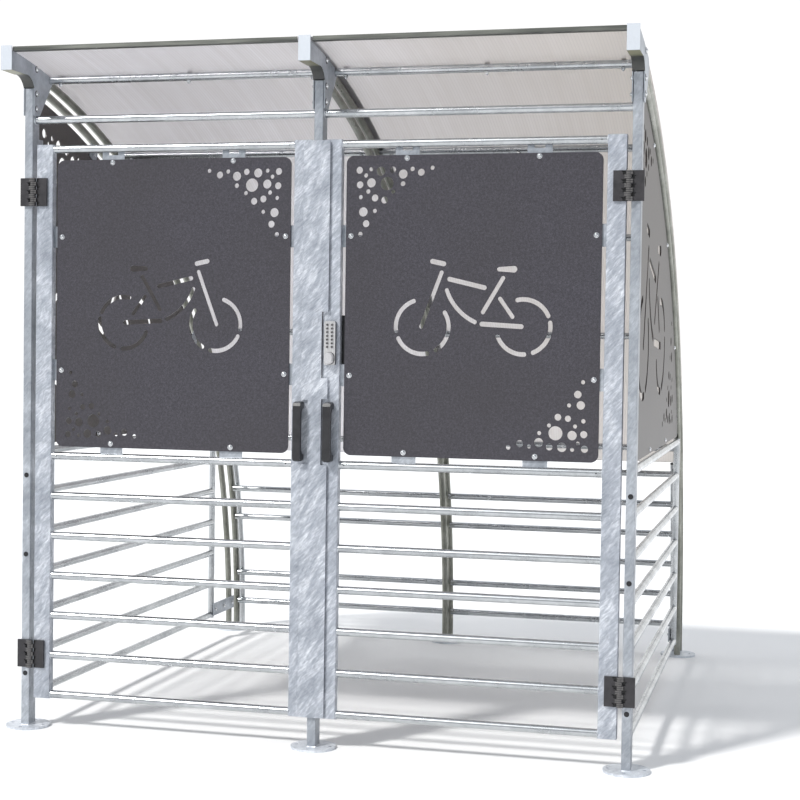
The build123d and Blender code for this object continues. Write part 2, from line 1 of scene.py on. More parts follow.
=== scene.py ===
"""Looks of the bike shelter: finishes for every node, fixings, welds and lock details."""

import math
import random

import bpy
from mathutils import Matrix, Vector


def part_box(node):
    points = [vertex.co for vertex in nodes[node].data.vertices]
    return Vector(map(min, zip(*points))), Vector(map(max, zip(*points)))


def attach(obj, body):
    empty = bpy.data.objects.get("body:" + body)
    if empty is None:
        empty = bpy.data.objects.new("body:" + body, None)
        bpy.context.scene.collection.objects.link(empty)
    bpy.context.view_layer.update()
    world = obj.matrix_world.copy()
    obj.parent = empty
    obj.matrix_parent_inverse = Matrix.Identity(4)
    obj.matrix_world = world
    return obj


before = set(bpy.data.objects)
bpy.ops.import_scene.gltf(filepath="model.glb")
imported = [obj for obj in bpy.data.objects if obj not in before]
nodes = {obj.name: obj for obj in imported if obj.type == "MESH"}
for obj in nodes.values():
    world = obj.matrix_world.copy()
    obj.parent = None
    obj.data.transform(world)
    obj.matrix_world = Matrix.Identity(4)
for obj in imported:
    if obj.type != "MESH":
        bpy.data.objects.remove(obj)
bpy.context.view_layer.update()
rnd = random.Random(7)

# ------------------------------------------------------------------ shared sizes, metres
POST_X, TUBE_R = 1.035, 0.01345
ARCH_OUT = (-0.020, 2.2649, ((8.9, 31.91, 3.1749), (31.91, 67.96, 2.0186), (67.96, 90.0, 2.1035)))
ARCH_IN = (0.0, 2.2194, ((10.6, 33.49, 3.0788), (33.49, 68.78, 1.9283), (68.78, 90.0, 2.2972)))
PURLIN_Y = (0.118, 0.730, 1.250, 1.660, 1.952)
GATE_RAIL_Z = (1.988, 0.942, 0.8046, 0.6672, 0.5298, 0.3924, 0.255, 0.11845)
SIDE_RAIL_Z = (0.9505, 0.8105, 0.6705, 0.5305, 0.3905, 0.2505, 0.1105)
REAR_RAIL_Z = (0.800, 0.6665, 0.533, 0.3995, 0.266, 0.1325)
SIDE_UPRIGHT_Y = 1.788


def arch_at(spec, y_want, off=0.0):
    """Height and slope (radians below horizontal) of an arch centre line at Y, offset outwards."""
    y, z, arcs = spec
    for a, b, r in arcs:
        a0, b0 = math.radians(a), math.radians(b)
        cy, cz = y - r * math.sin(a0), z - r * math.cos(a0)
        if y_want <= cy + r * math.sin(b0) or b == 90.0:
            t = math.asin(min(1.0, (y_want - cy) / r))
            return cy + (r + off) * math.sin(t), cz + (r + off) * math.cos(t), t
        y, z = cy + r * math.sin(b0), cz + r * math.cos(b0)
    return y_want, z, math.pi / 2


def arch_low(spec, z_want, off=0.0):
    """Y of an arch's last arc at a height, offset outwards, and the slope there."""
    y, z, arcs = spec
    for a, b, r in arcs:
        cy, cz = y - r * math.sin(math.radians(a)), z - r * math.cos(math.radians(a))
        y, z = cy + r * math.sin(math.radians(b)), cz + r * math.cos(math.radians(b))
    t = math.acos(max(0.0, min(1.0, (z_want - cz) / (r + off))))
    return cy + (r + off) * math.sin(t), t


# ------------------------------------------------------------------ materials
def srgb(r, g, b):
    return tuple(((c / 255) / 12.92 if c / 255 <= 0.04045 else ((c / 255 + 0.055) / 1.055) ** 2.4) for c in (r, g, b)) + (1.0,)


class Mat:
    """A small builder for node materials; coordinates are the piece's own, so they move with it."""

    def __init__(self, name):
        self.m = bpy.data.materials.new(name)
        self.m.use_nodes = True
        self.nt = self.m.node_tree
        self.nt.nodes.clear()
        out = self.nt.nodes.new("ShaderNodeOutputMaterial")
        self.b = self.nt.nodes.new("ShaderNodeBsdfPrincipled")
        self.nt.links.new(self.b.outputs[0], out.inputs[0])
        self.tc = self.nt.nodes.new("ShaderNodeTexCoord")

    def node(self, kind, **kw):
        n = self.nt.nodes.new(kind)
        for k, v in kw.items():
            setattr(n, k, v)
        return n

    def link(self, a, b):
        self.nt.links.new(a, b)

    def mapped(self, rot=(0, 0, 0), scale=(1, 1, 1), loc=(0, 0, 0), vec=None):
        """Turned first and stretched after, so that marks can run at a slant."""
        turn, size = self.node("ShaderNodeMapping"), self.node("ShaderNodeMapping")
        turn.inputs["Rotation"].default_value = rot
        turn.inputs["Location"].default_value = loc
        size.inputs["Scale"].default_value = scale
        self.link(vec or self.tc.outputs["Object"], turn.inputs["Vector"])
        self.link(turn.outputs["Vector"], size.inputs["Vector"])
        return size.outputs["Vector"]

    def noise(self, scale, detail=3.0, rough=0.55, vec=None):
        n = self.node("ShaderNodeTexNoise")
        n.inputs["Scale"].default_value = scale
        n.inputs["Detail"].default_value = detail
        n.inputs["Roughness"].default_value = rough
        self.link(vec or self.tc.outputs["Object"], n.inputs["Vector"])
        return n.outputs["Fac"]

    def voronoi(self, scale, vec=None, feature="F1", out="Color"):
        n = self.node("ShaderNodeTexVoronoi", feature=feature)
        n.inputs["Scale"].default_value = scale
        self.link(vec or self.tc.outputs["Object"], n.inputs["Vector"])
        return n.outputs[out]

    def ramp(self, fac, *stops):
        n = self.node("ShaderNodeValToRGB")
        el = n.color_ramp.elements
        while len(el) < len(stops):
            el.new(0.5)
        for e, (p, c) in zip(el, stops):
            e.position = p
            e.color = c if len(c) == 4 else tuple(c) + (1.0,)
        self.link(fac, n.inputs["Fac"])
        return n.outputs["Color"]

    def mix(self, a, b, fac, blend="MIX"):
        n = self.node("ShaderNodeMix", data_type="RGBA", blend_type=blend)
        for sock, v in ((n.inputs["Factor"], fac), (n.inputs["A"], a), (n.inputs["B"], b)):
            pass
        for i, v in (("Factor_Float", fac), ("A_Color", a), ("B_Color", b)):
            s = next(x for x in n.inputs if x.identifier == i)
            if hasattr(v, "is_output"):
                self.link(v, s)
            else:
                s.default_value = v
        return next(x for x in n.outputs if x.identifier == "Result_Color")

    def remap(self, v, a, b, c, d):
        n = self.node("ShaderNodeMapRange")
        n.inputs["From Min"].default_value, n.inputs["From Max"].default_value = a, b
        n.inputs["To Min"].default_value, n.inputs["To Max"].default_value = c, d
        self.link(v, n.inputs["Value"])
        return n.outputs["Result"]

    def math(self, op, a, b=None):
        n = self.node("ShaderNodeMath", operation=op)
        for i, v in enumerate((a, b)):
            if v is None:
                continue
            if hasattr(v, "is_output"):
                self.link(v, n.inputs[i])
            else:
                n.inputs[i].default_value = v
        return n.outputs[0]

    def xyz(self, vec):
        n = self.node("ShaderNodeSeparateXYZ")
        self.link(vec, n.inputs[0])
        return n.outputs

    def bump(self, height, strength, distance):
        n = self.node("ShaderNodeBump")
        n.inputs["Strength"].default_value = strength
        n.inputs["Distance"].default_value = distance
        self.link(height, n.inputs["Height"])
        self.link(n.outputs["Normal"], self.b.inputs["Normal"])
        return n

    def set(self, **kw):
        for k, v in kw.items():
            s = self.b.inputs[k.replace("_", " ")]
            if hasattr(v, "is_output"):
                self.link(v, s)
            else:
                s.default_value = v


def galvanised(name, dark, mid, light, streak=1.0, metallic=0.6, rough=(0.34, 0.56), tilt=0.62, cell=85.0,
               relief=0.25, shade_and_lip_highlight=False):
    """Hot-dip galvanised steel: diagonal run marks, a faint spangle, cloudy patches and small pimples."""
    m = Mat(name)
    warp = m.noise(9.0, 3.0, 0.6)
    bend = m.node("ShaderNodeVectorMath", operation="SCALE")
    m.link(m.tc.outputs["Object"], bend.inputs[0])
    m.link(m.remap(warp, 0.0, 1.0, 0.97, 1.03), bend.inputs["Scale"])
    run = m.mapped(rot=(0.0, tilt, 0.0), scale=(70.0, 70.0, 14.0), vec=bend.outputs[0])
    streaks = m.noise(1.0, 7.0, 0.68, run)
    run2 = m.mapped(rot=(0.0, tilt - 0.35, 0.0), scale=(230.0, 230.0, 30.0), loc=(3.1, 0.4, 1.7))
    fine = m.noise(1.0, 4.0, 0.7, run2)
    cloud = m.noise(7.0, 5.0, 0.62)
    w1, w2 = 0.42 * streak, 0.26 * streak
    fac = m.math("ADD", m.math("MULTIPLY", streaks, w1), m.math("MULTIPLY", fine, w2))
    fac = m.math("ADD", fac, m.math("MULTIPLY", cloud, 1.0 - w1 - w2))
    col = m.ramp(fac, (0.36, dark), (0.50, mid), (0.66, light))
    spangle = m.voronoi(cell)
    bw = m.node("ShaderNodeRGBToBW")
    m.link(spangle, bw.inputs[0])
    grey = m.remap(bw.outputs[0], 0.0, 1.0, 0.90, 1.06)
    comb = m.node("ShaderNodeCombineColor")
    for i in range(3):
        m.link(grey, comb.inputs[i])
    col = m.mix(col, comb.outputs[0], 1.0, "MULTIPLY")
    pim = m.noise(420.0, 2.0, 0.5)
    if shade_and_lip_highlight:
        # painted shade: the downward faces of the hollow under the roof edge, behind the lip, are darkened, near black
        # next to the post and olive further forward
        nrm, pos = m.xyz(m.tc.outputs["Normal"]), m.xyz(m.tc.outputs["Object"])
        not_side = m.math("LESS_THAN", m.math("ABSOLUTE", nrm[0]), 0.5)
        behind_lip = m.math("GREATER_THAN", pos[1], -0.158)
        above_post = m.math("GREATER_THAN", pos[2], 2.1965)
        low_face = m.math("LESS_THAN", m.math("ADD", nrm[2], nrm[1]), -0.35)
        where = m.math("MULTIPLY", m.math("MULTIPLY", not_side, behind_lip), m.math("MULTIPLY", above_post, low_face))
        tone = m.mix(srgb(118, 116, 84), srgb(14, 14, 12), m.remap(pos[1], -0.085, -0.045, 0.0, 1.0))
        tone = m.mix(tone, srgb(92, 92, 74), m.remap(cloud, 0.4, 0.7, 0.0, 0.3))
        col = m.mix(col, tone, m.math("MULTIPLY", where, 0.96))
        # painted highlight: the forward faces of the front lip are lightened
        lip_highlight_mask = m.math("MULTIPLY", m.math("LESS_THAN", pos[1], -0.158), m.math("LESS_THAN", nrm[1], -0.7))
        col = m.mix(col, srgb(232, 237, 243), m.math("MULTIPLY", lip_highlight_mask, 0.6))
    m.set(Base_Color=col, Metallic=metallic, Roughness=m.remap(fac, 0.35, 0.65, rough[1], rough[0]), IOR=1.6)
    if shade_and_lip_highlight:
        # where the painted shade lies, the metal sheen is taken away as well
        m.set(Metallic=m.remap(where, 0.0, 1.0, metallic, 0.0))
    m.bump(m.math("ADD", m.math("MULTIPLY", pim, 0.5), m.math("MULTIPLY", streaks, 0.8)), relief, 0.0006)
    return m.m


galv_plate = galvanised("galvanised_plate", srgb(128, 134, 143), srgb(168, 173, 182), srgb(240, 243, 248), streak=1.0, metallic=0.45, rough=(0.36, 0.52), tilt=-0.55)
galv_post = galvanised("galvanised_post", srgb(132, 138, 145), srgb(160, 165, 172), srgb(204, 209, 215), streak=0.8, rough=(0.32, 0.5), metallic=0.5, tilt=-0.4)
galv_tube = galvanised("galvanised_tube", srgb(172, 175, 178), srgb(188, 191, 193), srgb(204, 206, 208), streak=0.35, metallic=1.0, rough=(0.22, 0.30), tilt=1.1, relief=0.06)
# a paler copy of the galvanised finish, used only for the foot plates
galv_foot = galvanised("galvanised_foot", srgb(172, 177, 184), srgb(204, 209, 216), srgb(240, 243, 248), streak=0.7, metallic=0.35, rough=(0.36, 0.5), tilt=0.4)
# painted reflection: the arches get a darker olive copy of the tube finish, standing in for dark surroundings mirrored
# in them
galv_arch_painted_reflection = galvanised("galvanised_arch_painted_reflection", srgb(118, 119, 112), srgb(138, 139, 131), srgb(160, 161, 154), streak=0.35, metallic=1.0, rough=(0.26, 0.36), tilt=1.1, relief=0.06)
# the bracket finish carries painted shade in its hollow and a painted highlight on its lip
galv_sheet = galvanised("galvanised_bracket", srgb(150, 156, 163), srgb(172, 178, 186), srgb(196, 202, 209), streak=0.45, metallic=0.55, rough=(0.34, 0.48), cell=45.0, shade_and_lip_highlight=True)


def laminate(name="laminate_anthracite", grazing_reflection_tint=0):
    """Anthracite compact laminate with a fine mottled grain."""
    m = Mat(name)
    n1, n2 = m.noise(420.0, 2.0, 0.6), m.noise(130.0, 3.0, 0.55)
    n3 = m.noise(2.2, 3.0, 0.5)
    v = m.math("ADD", m.math("MULTIPLY", n1, 0.62), m.math("MULTIPLY", n2, 0.38))
    # painted reflection: with grazing_reflection_tint set, a warmer, browner copy of the laminate stands in for the
    # brownish sheen seen at a grazing angle
    col = m.ramp(v, *(((0.36, srgb(50, 44, 42)), (0.50, srgb(64, 57, 53)), (0.66, srgb(86, 78, 74))) if grazing_reflection_tint else
                       ((0.36, srgb(42, 40, 46)), (0.50, srgb(55, 53, 60)), (0.66, srgb(78, 76, 84)))))
    col = m.mix(col, srgb(50, 47, 48), m.remap(n3, 0.35, 0.7, 0.0, 0.35))
    m.set(Base_Color=col, Roughness=m.remap(n1, 0.3, 0.7, 0.34, 0.46), IOR=1.5)
    m.bump(v, 0.35, 0.0004)
    return m.m


def polycarbonate():
    """Twin-wall sheet: soft see-through skin with a web every 10.5 mm, running from front to back."""
    m = Mat("twin_wall_polycarbonate")
    x = m.xyz(m.tc.outputs["Object"])[0]
    cyc = m.math("FRACT", m.math("DIVIDE", m.math("ADD", x, 20.0), 0.0105))
    web = m.math("LESS_THAN", m.math("ABSOLUTE", m.math("SUBTRACT", cyc, 0.5)), 0.13)
    soft = m.noise(1.4, 3.0, 0.5)
    streak = m.noise(1.0, 3.0, 0.5, m.mapped(scale=(60.0, 1.6, 1.6)))
    tone = m.math("ADD", m.math("MULTIPLY", soft, 0.5), m.math("MULTIPLY", streak, 0.5))
    skin = m.ramp(tone, (0.36, srgb(226, 223, 225)), (0.52, srgb(238, 236, 240)), (0.68, srgb(250, 249, 254)))
    # painted light: a beige tint growing towards +X over the right roof bay stands in for warm light coming through
    # the sheet there
    skin = m.mix(skin, srgb(230, 223, 214), m.remap(x, -0.3, 1.0, 0.10, 0.75))
    col = m.mix(skin, srgb(214, 209, 208), m.math("MULTIPLY", web, 0.5))
    m.set(Base_Color=col, Roughness=0.30, IOR=1.25, Transmission_Weight=0.72)
    h = m.math("MULTIPLY", m.math("ABSOLUTE", m.math("SUBTRACT", cyc, 0.5)), 2.0)
    m.bump(h, 0.15, 0.0005)
    return m.m


def aluminium(name, dark, light, rough):
    m = Mat(name)
    n = m.noise(1.0, 4.0, 0.6, m.mapped(scale=(3.0, 60.0, 60.0)))
    col = m.ramp(n, (0.3, dark), (0.7, light))
    m.set(Base_Color=col, Metallic=0.8, Roughness=m.remap(n, 0.3, 0.7, rough - 0.06, rough + 0.08))
    m.bump(n, 0.12, 0.0003)
    return m.m


def polyamide(name, lo, hi, rough=0.46):
    """Glass-filled black plastic with a fine eroded grain and slightly worn high spots."""
    m = Mat(name)
    grain, patch = m.noise(900.0, 2.0, 0.6), m.noise(38.0, 4.0, 0.6)
    col = m.ramp(m.math("ADD", m.math("MULTIPLY", grain, 0.5), m.math("MULTIPLY", patch, 0.5)), (0.36, lo), (0.66, hi))
    m.set(Base_Color=col, Roughness=m.remap(patch, 0.3, 0.7, rough - 0.08, rough + 0.1), IOR=1.5)
    m.bump(grain, 0.4, 0.00025)
    return m.m


def bright_metal(name, tone, rough, metallic=1.0):
    m = Mat(name)
    n, ring = m.noise(300.0, 3.0, 0.6), m.noise(26.0, 3.0, 0.6)
    t = tuple(c for c in tone[:3])
    col = m.ramp(n, (0.3, tuple(c * 0.86 for c in t) + (1,)), (0.7, t + (1,)))
    m.set(Base_Color=col, Metallic=metallic, Roughness=m.remap(ring, 0.3, 0.7, rough * 0.8, rough * 1.35))
    m.bump(n, 0.08, 0.0002)
    return m.m


def lock_shell():
    """Satin metal face on a dark moulded body: the face is where the piece's own normal looks forward."""
    m = Mat("lock_face_and_body")
    ny = m.xyz(m.tc.outputs["Normal"])[1]
    face = m.math("LESS_THAN", ny, -0.6)
    brushed = m.noise(1.0, 4.0, 0.6, m.mapped(scale=(900.0, 30.0, 40.0)))
    metal = m.ramp(brushed, (0.3, srgb(180, 179, 179)), (0.7, srgb(212, 211, 211)))
    col = m.mix(srgb(38, 40, 48), metal, face)
    m.set(Base_Color=col, Metallic=m.remap(face, 0, 1, 0.0, 0.75), Roughness=m.remap(brushed, 0.3, 0.7, 0.30, 0.44))
    m.bump(brushed, 0.1, 0.0002)
    return m.m


def hinge_plastic():
    """The black plastic of the hinges, with painted shade making the pockets near black and painted highlights as pale
    rings round the barrel.
    """
    m = Mat("hinge_polyamide")
    pos = m.xyz(m.tc.outputs["Object"])
    grain, patch = m.noise(900.0, 2.0, 0.6), m.noise(38.0, 4.0, 0.6)
    col = m.ramp(m.math("ADD", m.math("MULTIPLY", grain, 0.5), m.math("MULTIPLY", patch, 0.5)), (0.36, srgb(28, 27, 30)), (0.66, srgb(56, 54, 57)))
    near = m.math("LESS_THAN", m.math("ABSOLUTE", m.math("SUBTRACT", m.math("ABSOLUTE", pos[0]), 1.012)), 0.030)
    pocket_shade_mask = m.math("MULTIPLY", near, m.math("GREATER_THAN", pos[1], -0.0077))
    barrel = m.math("MULTIPLY", m.math("LESS_THAN", pos[1], -0.0150), near)
    ring = m.math("ABSOLUTE", m.math("SUBTRACT", m.math("FRACT", m.math("DIVIDE", pos[2], 0.0068)), 0.5))
    # painted highlight: pale rings along the barrel, one every 6.8 mm of height
    col = m.mix(col, srgb(112, 110, 108), m.math("MULTIPLY", barrel, m.remap(ring, 0.05, 0.45, 0.65, 0.05)))
    # painted shade: the pockets beside the barrel are made near black
    col = m.mix(col, srgb(4, 4, 5), m.math("MULTIPLY", pocket_shade_mask, 0.9))
    m.set(Base_Color=col, Roughness=m.remap(patch, 0.3, 0.7, 0.34, 0.52), IOR=1.5)
    m.bump(grain, 0.4, 0.00025)
    return m.m


MAT = {
    "plate": galv_plate, "post": galv_post, "tube": galv_tube, "arch": galv_arch_painted_reflection, "foot": galv_foot, "bracket": galv_sheet,
    # the side panels take the painted-reflection copy of the laminate
    "laminate": laminate(), "side_laminate": laminate("laminate_anthracite_side", 1), "hinge": hinge_plastic(), "sheet": polycarbonate(),
    # the front profiles take a dark grey-olive copy of the aluminium finish, far darker than the joint cover
    "profile": aluminium("aluminium_profile", srgb(70, 72, 70), srgb(112, 114, 108), 0.36),
    "cover": aluminium("aluminium_cover", srgb(150, 153, 156), srgb(190, 193, 196), 0.38),
    "black": polyamide("black_polyamide", srgb(16, 16, 18), srgb(46, 45, 48), 0.36),
    "plug": polyamide("black_plug", srgb(12, 12, 14), srgb(30, 30, 34), 0.35),
    "bolt": bright_metal("bright_zinc_bolt", srgb(222, 224, 226), 0.2),
    "weld": bright_metal("galvanised_weld", srgb(205, 210, 216), 0.42, 0.7),
    "lock": lock_shell(), "knob": bright_metal("satin_knob", srgb(214, 213, 214), 0.3, 0.75),
    "key": bright_metal("keypad_key", srgb(96, 94, 94), 0.3, 0.8),
    "gap": polyamide("keypad_gap", srgb(20, 20, 24), srgb(44, 44, 50), 0.4),
    "cap": polyamide("pale_tube_cap", srgb(188, 190, 192), srgb(214, 215, 216), 0.4),
}


def material_of(node):
    if node.startswith("gate_panel"):
        return "laminate"
    if node.startswith("side_panel"):
        return "side_laminate"
    if node.startswith("hinge"):
        return "hinge"
    if node.startswith("roof_sheet"):
        return "sheet"
    if node in ("roof_front_profiles",):
        return "profile"
    if node == "roof_joint_cover":
        return "cover"
    if node.startswith(("hinge", "handle")) or node == "lock_case":
        return "black"
    if node == "lock_front":
        return "lock"
    if node == "lock_knob":
        return "knob"
    if node.startswith("bracket"):
        return "bracket"
    if node.startswith("arch"):
        return "arch"
    if node.startswith("post"):
        return "post"
    if node == "foot_plates":
        return "foot"
    if node.startswith(("closing_plate", "gate_stiles")):
        return "plate"
    if node.startswith(("panel_clips", "side_clips", "foot_clamps")):
        return "post"
    return "tube"


for name, obj in nodes.items():
    obj.data.materials.clear()
    obj.data.materials.append(MAT[material_of(name)])


# ------------------------------------------------------------------ mesh helpers
class Heap:
    """Collects vertices and faces of many small like pieces that ride on one body."""

    def __init__(self, name, mat, body, slot, smooth=True):
        self.name, self.mat, self.body, self.slot, self.smooth = name, mat, body, slot, smooth
        self.v, self.f = [], []

    def add(self, verts, faces):
        k = len(self.v)
        self.v += [tuple(v) for v in verts]
        self.f += [tuple(i + k for i in f) for f in faces]

    def done(self, sharp=0.6):
        me = bpy.data.meshes.new(self.name)
        me.from_pydata(self.v, [], self.f)
        me.validate()
        me.materials.append(MAT[self.mat])
        o = bpy.data.objects.new(self.name, me)
        bpy.context.scene.collection.objects.link(o)
        if self.smooth:
            for p in me.polygons:
                p.use_smooth = True
            me.set_sharp_from_angle(angle=sharp)
        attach(o, self.body)
        return o


def turned(profile, at, axis, n=20, spin=0.0):
    """Turned solid: profile is (radius, height) from the rim to the middle, standing on at along axis."""
    z = Vector(axis).normalized()
    x = z.orthogonal().normalized()
    y = z.cross(x)
    at = Vector(at)
    verts, faces = [], []
    for r, h in profile:
        if r < 1e-7:
            verts.append(at + z * h)
            continue
        for i in range(n):
            a = 2 * math.pi * i / n + spin
            verts.append(at + x * (r * math.cos(a)) + y * (r * math.sin(a)) + z * h)
    rings, k = [], 0
    for r, h in profile:
        rings.append((k, 1 if r < 1e-7 else n))
        k += rings[-1][1]
    for (a, na), (b, nb) in zip(rings, rings[1:]):
        for i in range(n):
            j = (i + 1) % n
            if na == n and nb == n:
                faces.append((a + i, a + j, b + j, b + i))
            elif nb == 1:
                faces.append((a + i, a + j, b))
            elif na == 1:
                faces.append((a, b + j, b + i))
    return verts, faces


MM = 0.001
DOME = [(r * MM, h * MM) for r, h in ((9.0, -0.3), (9.0, 1.1), (8.5, 1.6), (6.7, 1.7), (6.5, 2.1), (6.3, 3.1), (5.5, 4.6), (4.2, 5.7), (2.9, 6.2), (2.5, 6.15), (2.3, 4.4), (0.0, 4.2))]
SMALL = [(r * MM, h * MM) for r, h in ((6.0, -0.3), (6.0, 0.8), (5.6, 1.1), (4.6, 1.2), (4.4, 2.2), (3.4, 3.3), (1.8, 3.9), (0.0, 4.0))]
SEAL = [(r * MM, h * MM) for r, h in ((9.5, -0.5), (9.6, 1.4), (9.0, 2.4), (7.0, 2.6), (6.6, 3.4), (6.2, 5.2), (4.4, 6.6), (2.0, 7.2), (0.0, 7.3))]
NUT = [(r * MM, h * MM) for r, h in ((8.5, -0.5), (8.5, 1.2), (8.2, 1.5), (6.4, 1.6), (6.3, 5.6), (5.8, 7.0), (4.6, 8.8), (2.6, 10.0), (0.0, 10.4))]


def weld_ring(at, axis, r, seed, n=28, w=0.0026):
    """A slightly uneven fillet bead round a tube where it meets a face; axis points away from the face."""
    z = Vector(axis).normalized()
    x = z.orthogonal().normalized()
    y = z.cross(x)
    at = Vector(at)
    q = random.Random(seed)
    verts, faces, m = [], [], 5
    for i in range(n):
        a = 2 * math.pi * i / n
        e = w * (1 + 0.22 * math.sin(7 * a + seed) + 0.16 * (q.random() - 0.5))
        d = x * math.cos(a) + y * math.sin(a)
        for k in range(m):
            t = (math.pi / 2) * k / (m - 1)
            rr = r - 0.0004 + e * math.cos(t)
            hh = -0.0004 + e * math.sin(t)
            verts.append(at + d * rr + z * hh)
    for i in range(n):
        j = (i + 1) % n
        for k in range(m - 1):
            faces.append((i * m + k, j * m + k, j * m + k + 1, i * m + k + 1))
        faces.append((i * m, i * m + m - 1, j * m + m - 1, j * m))
    return verts, faces


def weld_box(cx, cy, z, hx, hy, seed, w=0.0034):
    """Fillet bead round a rectangular post that stands on a plate."""
    q = random.Random(seed)
    r = 0.003
    loop = []
    for sx, sy, a0 in ((1, 1, 0), (-1, 1, 90), (-1, -1, 180), (1, -1, 270)):
        for k in range(4):
            a = math.radians(a0 + 30 * k)
            loop.append((cx + sx * (hx - r) + r * math.cos(a), cy + sy * (hy - r) + r * math.sin(a), math.cos(a), math.sin(a)))
    pts = []
    for i, p in enumerate(loop):
        nx = loop[(i + 1) % len(loop)]
        m = max(1, int(math.hypot(nx[0] - p[0], nx[1] - p[1]) / 0.004))
        for k in range(m):
            t = k / m
            pts.append(tuple(p[c] + (nx[c] - p[c]) * t for c in range(4)))
    verts, faces, m = [], [], 4
    for i, (x, y, dx, dy) in enumerate(pts):
        e = w * (1 + 0.2 * math.sin(i * 0.9 + seed) + 0.2 * (q.random() - 0.5))
        for k in range(m):
            t = (math.pi / 2) * k / (m - 1)
            rr, hh = -0.0004 + e * math.cos(t), -0.0004 + e * math.sin(t)
            verts.append((x + dx * rr, y + dy * rr, z + hh))
    n = len(pts)
    for i in range(n):
        j = (i + 1) % n
        for k in range(m - 1):
            faces.append((i * m + k, j * m + k, j * m + k + 1, i * m + k + 1))
        faces.append((i * m, i * m + m - 1, j * m + m - 1, j * m))
    return verts, faces


# ------------------------------------------------------------------ fixings of the gates
for side, s in (("left", -1), ("right", 1)):
    body = f"gate_{side}"
    bolts = Heap(f"gate_panel_bolts_{side}", "bolt", body, "lock_metal")
    for x in (0.297, 0.728):
        for z in (1.940, 0.989):
            bolts.add(*turned(DOME, (s * x, 0.009, z), (0, -1, 0), 24, rnd.random()))
    for x in (0.912, 0.112):
        for z in (1.690, 1.236):
            bolts.add(*turned(DOME, (s * x, 0.009, z), (0, -1, 0), 24, rnd.random()))
    bolts.done()
    nuts = Heap(f"gate_panel_nuts_{side}", "bolt", body, "lock_metal")
    for x in (0.297, 0.728):
        for z in (1.940, 0.989):
            nuts.add(*turned(NUT, (s * x, 0.018, z), (0, 1, 0), 6, rnd.random()))
    for x in (0.912, 0.112):
        for z in (1.690, 1.236):
            nuts.add(*turned(NUT, (s * x, 0.018, z), (0, 1, 0), 6, rnd.random()))
    nuts.done()
    beads = Heap(f"gate_welds_{side}", "weld", body, "galvanised")
    for k, z in enumerate(GATE_RAIL_Z):
        beads.add(*weld_ring((s * 0.944, 0.015, z), (-s, 0, 0), TUBE_R, k + 3))
        beads.add(*weld_ring((s * 0.081, 0.015, z), (s, 0, 0), TUBE_R, k + 31))
    beads.done()

for side, s in (("left", -1), ("right", 1)):
    v = Heap(f"gate_vents_{side}", "plug", f"gate_{side}", "black_plastic")
    for z in GATE_RAIL_Z[:1] + GATE_RAIL_Z[1:2]:
        for x in (0.925, 0.100):
            v.add(*turned([(0.0022, -0.0006), (0.0022, 0.0002), (0.0, 0.0003)], (s * x, 0.015 - TUBE_R, z), (0, -1, 0), 12))
    v.done()

# ------------------------------------------------------------------ keypad of the lock
keys = Heap("keypad_keys", "key", "gate_right", "lock_metal")
for dx in (-0.008, 0.008):
    for k in range(7):
        c = (0.051 + dx, -0.0164, 1.400 - 0.012 * k)
        keys.add(*turned([(0.0036, -0.0006), (0.0036, 0.0008), (0.0031, 0.0014), (0.0016, 0.0011), (0.0, 0.0009)], c, (0, -1, 0), 18))
keys.done()
# painted shade: a thin dark capsule ring round the knob stands in for the shaded gap of the closing plate's notch
knob_gap_shade = Heap("lock_knob_gap_shade", "gap", "gate_right", "black_plastic")
rim, k = [], 40
for i in range(k):
    a = 2 * math.pi * i / k
    rim.append((0.051 + 0.0172 * math.cos(a), 1.291 + 0.0036 * (1 if math.sin(a) > 0 else -1) + 0.0168 * math.sin(a)))
knob_gap_shade.add([(x, -0.0135, z) for x, z in rim] + [(x, -0.01432, z) for x, z in rim],
             [tuple(range(k, 2 * k)), tuple(range(k))[::-1]] + [(i, (i + 1) % k, k + (i + 1) % k, k + i) for i in range(k)])
knob_gap_shade.done()

# ------------------------------------------------------------------ fixings of the frame
plugs = Heap("post_plugs", "plug", "frame", "black_plastic")
for s in (-1, 1):
    for z in (0.188, 0.600, 0.873):
        plugs.add(*turned([(0.0085, -0.0005), (0.0085, 0.0008), (0.0078, 0.0016), (0.005, 0.0020), (0.0, 0.0021)], (s * POST_X, 0.0, z), (0, -1, 0), 24))
plugs.done()

bolts = Heap("bracket_bolts", "bolt", "frame", "lock_metal")
# painted shade: thin dark rings under the bracket bolts stand in for the shade round each bolt head
bolt_shade_rings = Heap("bracket_bolt_shade_rings", "gap", "frame", "black_plastic")
for x in (-POST_X, 0.0, POST_X):
    for s in (-1, 1):
        for y, z in ((0.016, 2.262), (0.017, 2.179), (0.017, 2.128)):
            bolts.add(*turned(DOME, (x + s * 0.0208, y, z), (s, 0, 0), 24, rnd.random()))
            bolt_shade_rings.add(*turned([(0.0112, -0.0004), (0.0112, 0.0007), (0.0106, 0.0010), (0.0, 0.0010)], (x + s * 0.020, y, z), (s, 0, 0), 24))
bolts.done()
bolt_shade_rings.done()

roof_fix = Heap("roof_fixings", "cap", "frame", "galvanised")
roof_nut = Heap("roof_fixing_nuts", "bolt", "frame", "lock_metal")
for yp in PURLIN_Y:
    y0, z0, t = arch_at(ARCH_OUT, yp)
    out = Vector((0, math.sin(t), math.cos(t)))
    for x in (-0.974, -0.499, -0.057, 0.057, 0.533, 0.974):
        roof_fix.add(*turned(SEAL, Vector((x, y0, z0)) + out * (TUBE_R + 0.010), out, 18))
        roof_nut.add(*turned(NUT, Vector((x, y0, z0)) - out * TUBE_R, -out, 6, rnd.random()))
    for x in (-1.026, 1.026):
        roof_fix.add(*turned(SEAL, Vector((x, y0, z0)) + out * (TUBE_R + 0.010), out, 18))
roof_fix.done()
roof_nut.done()

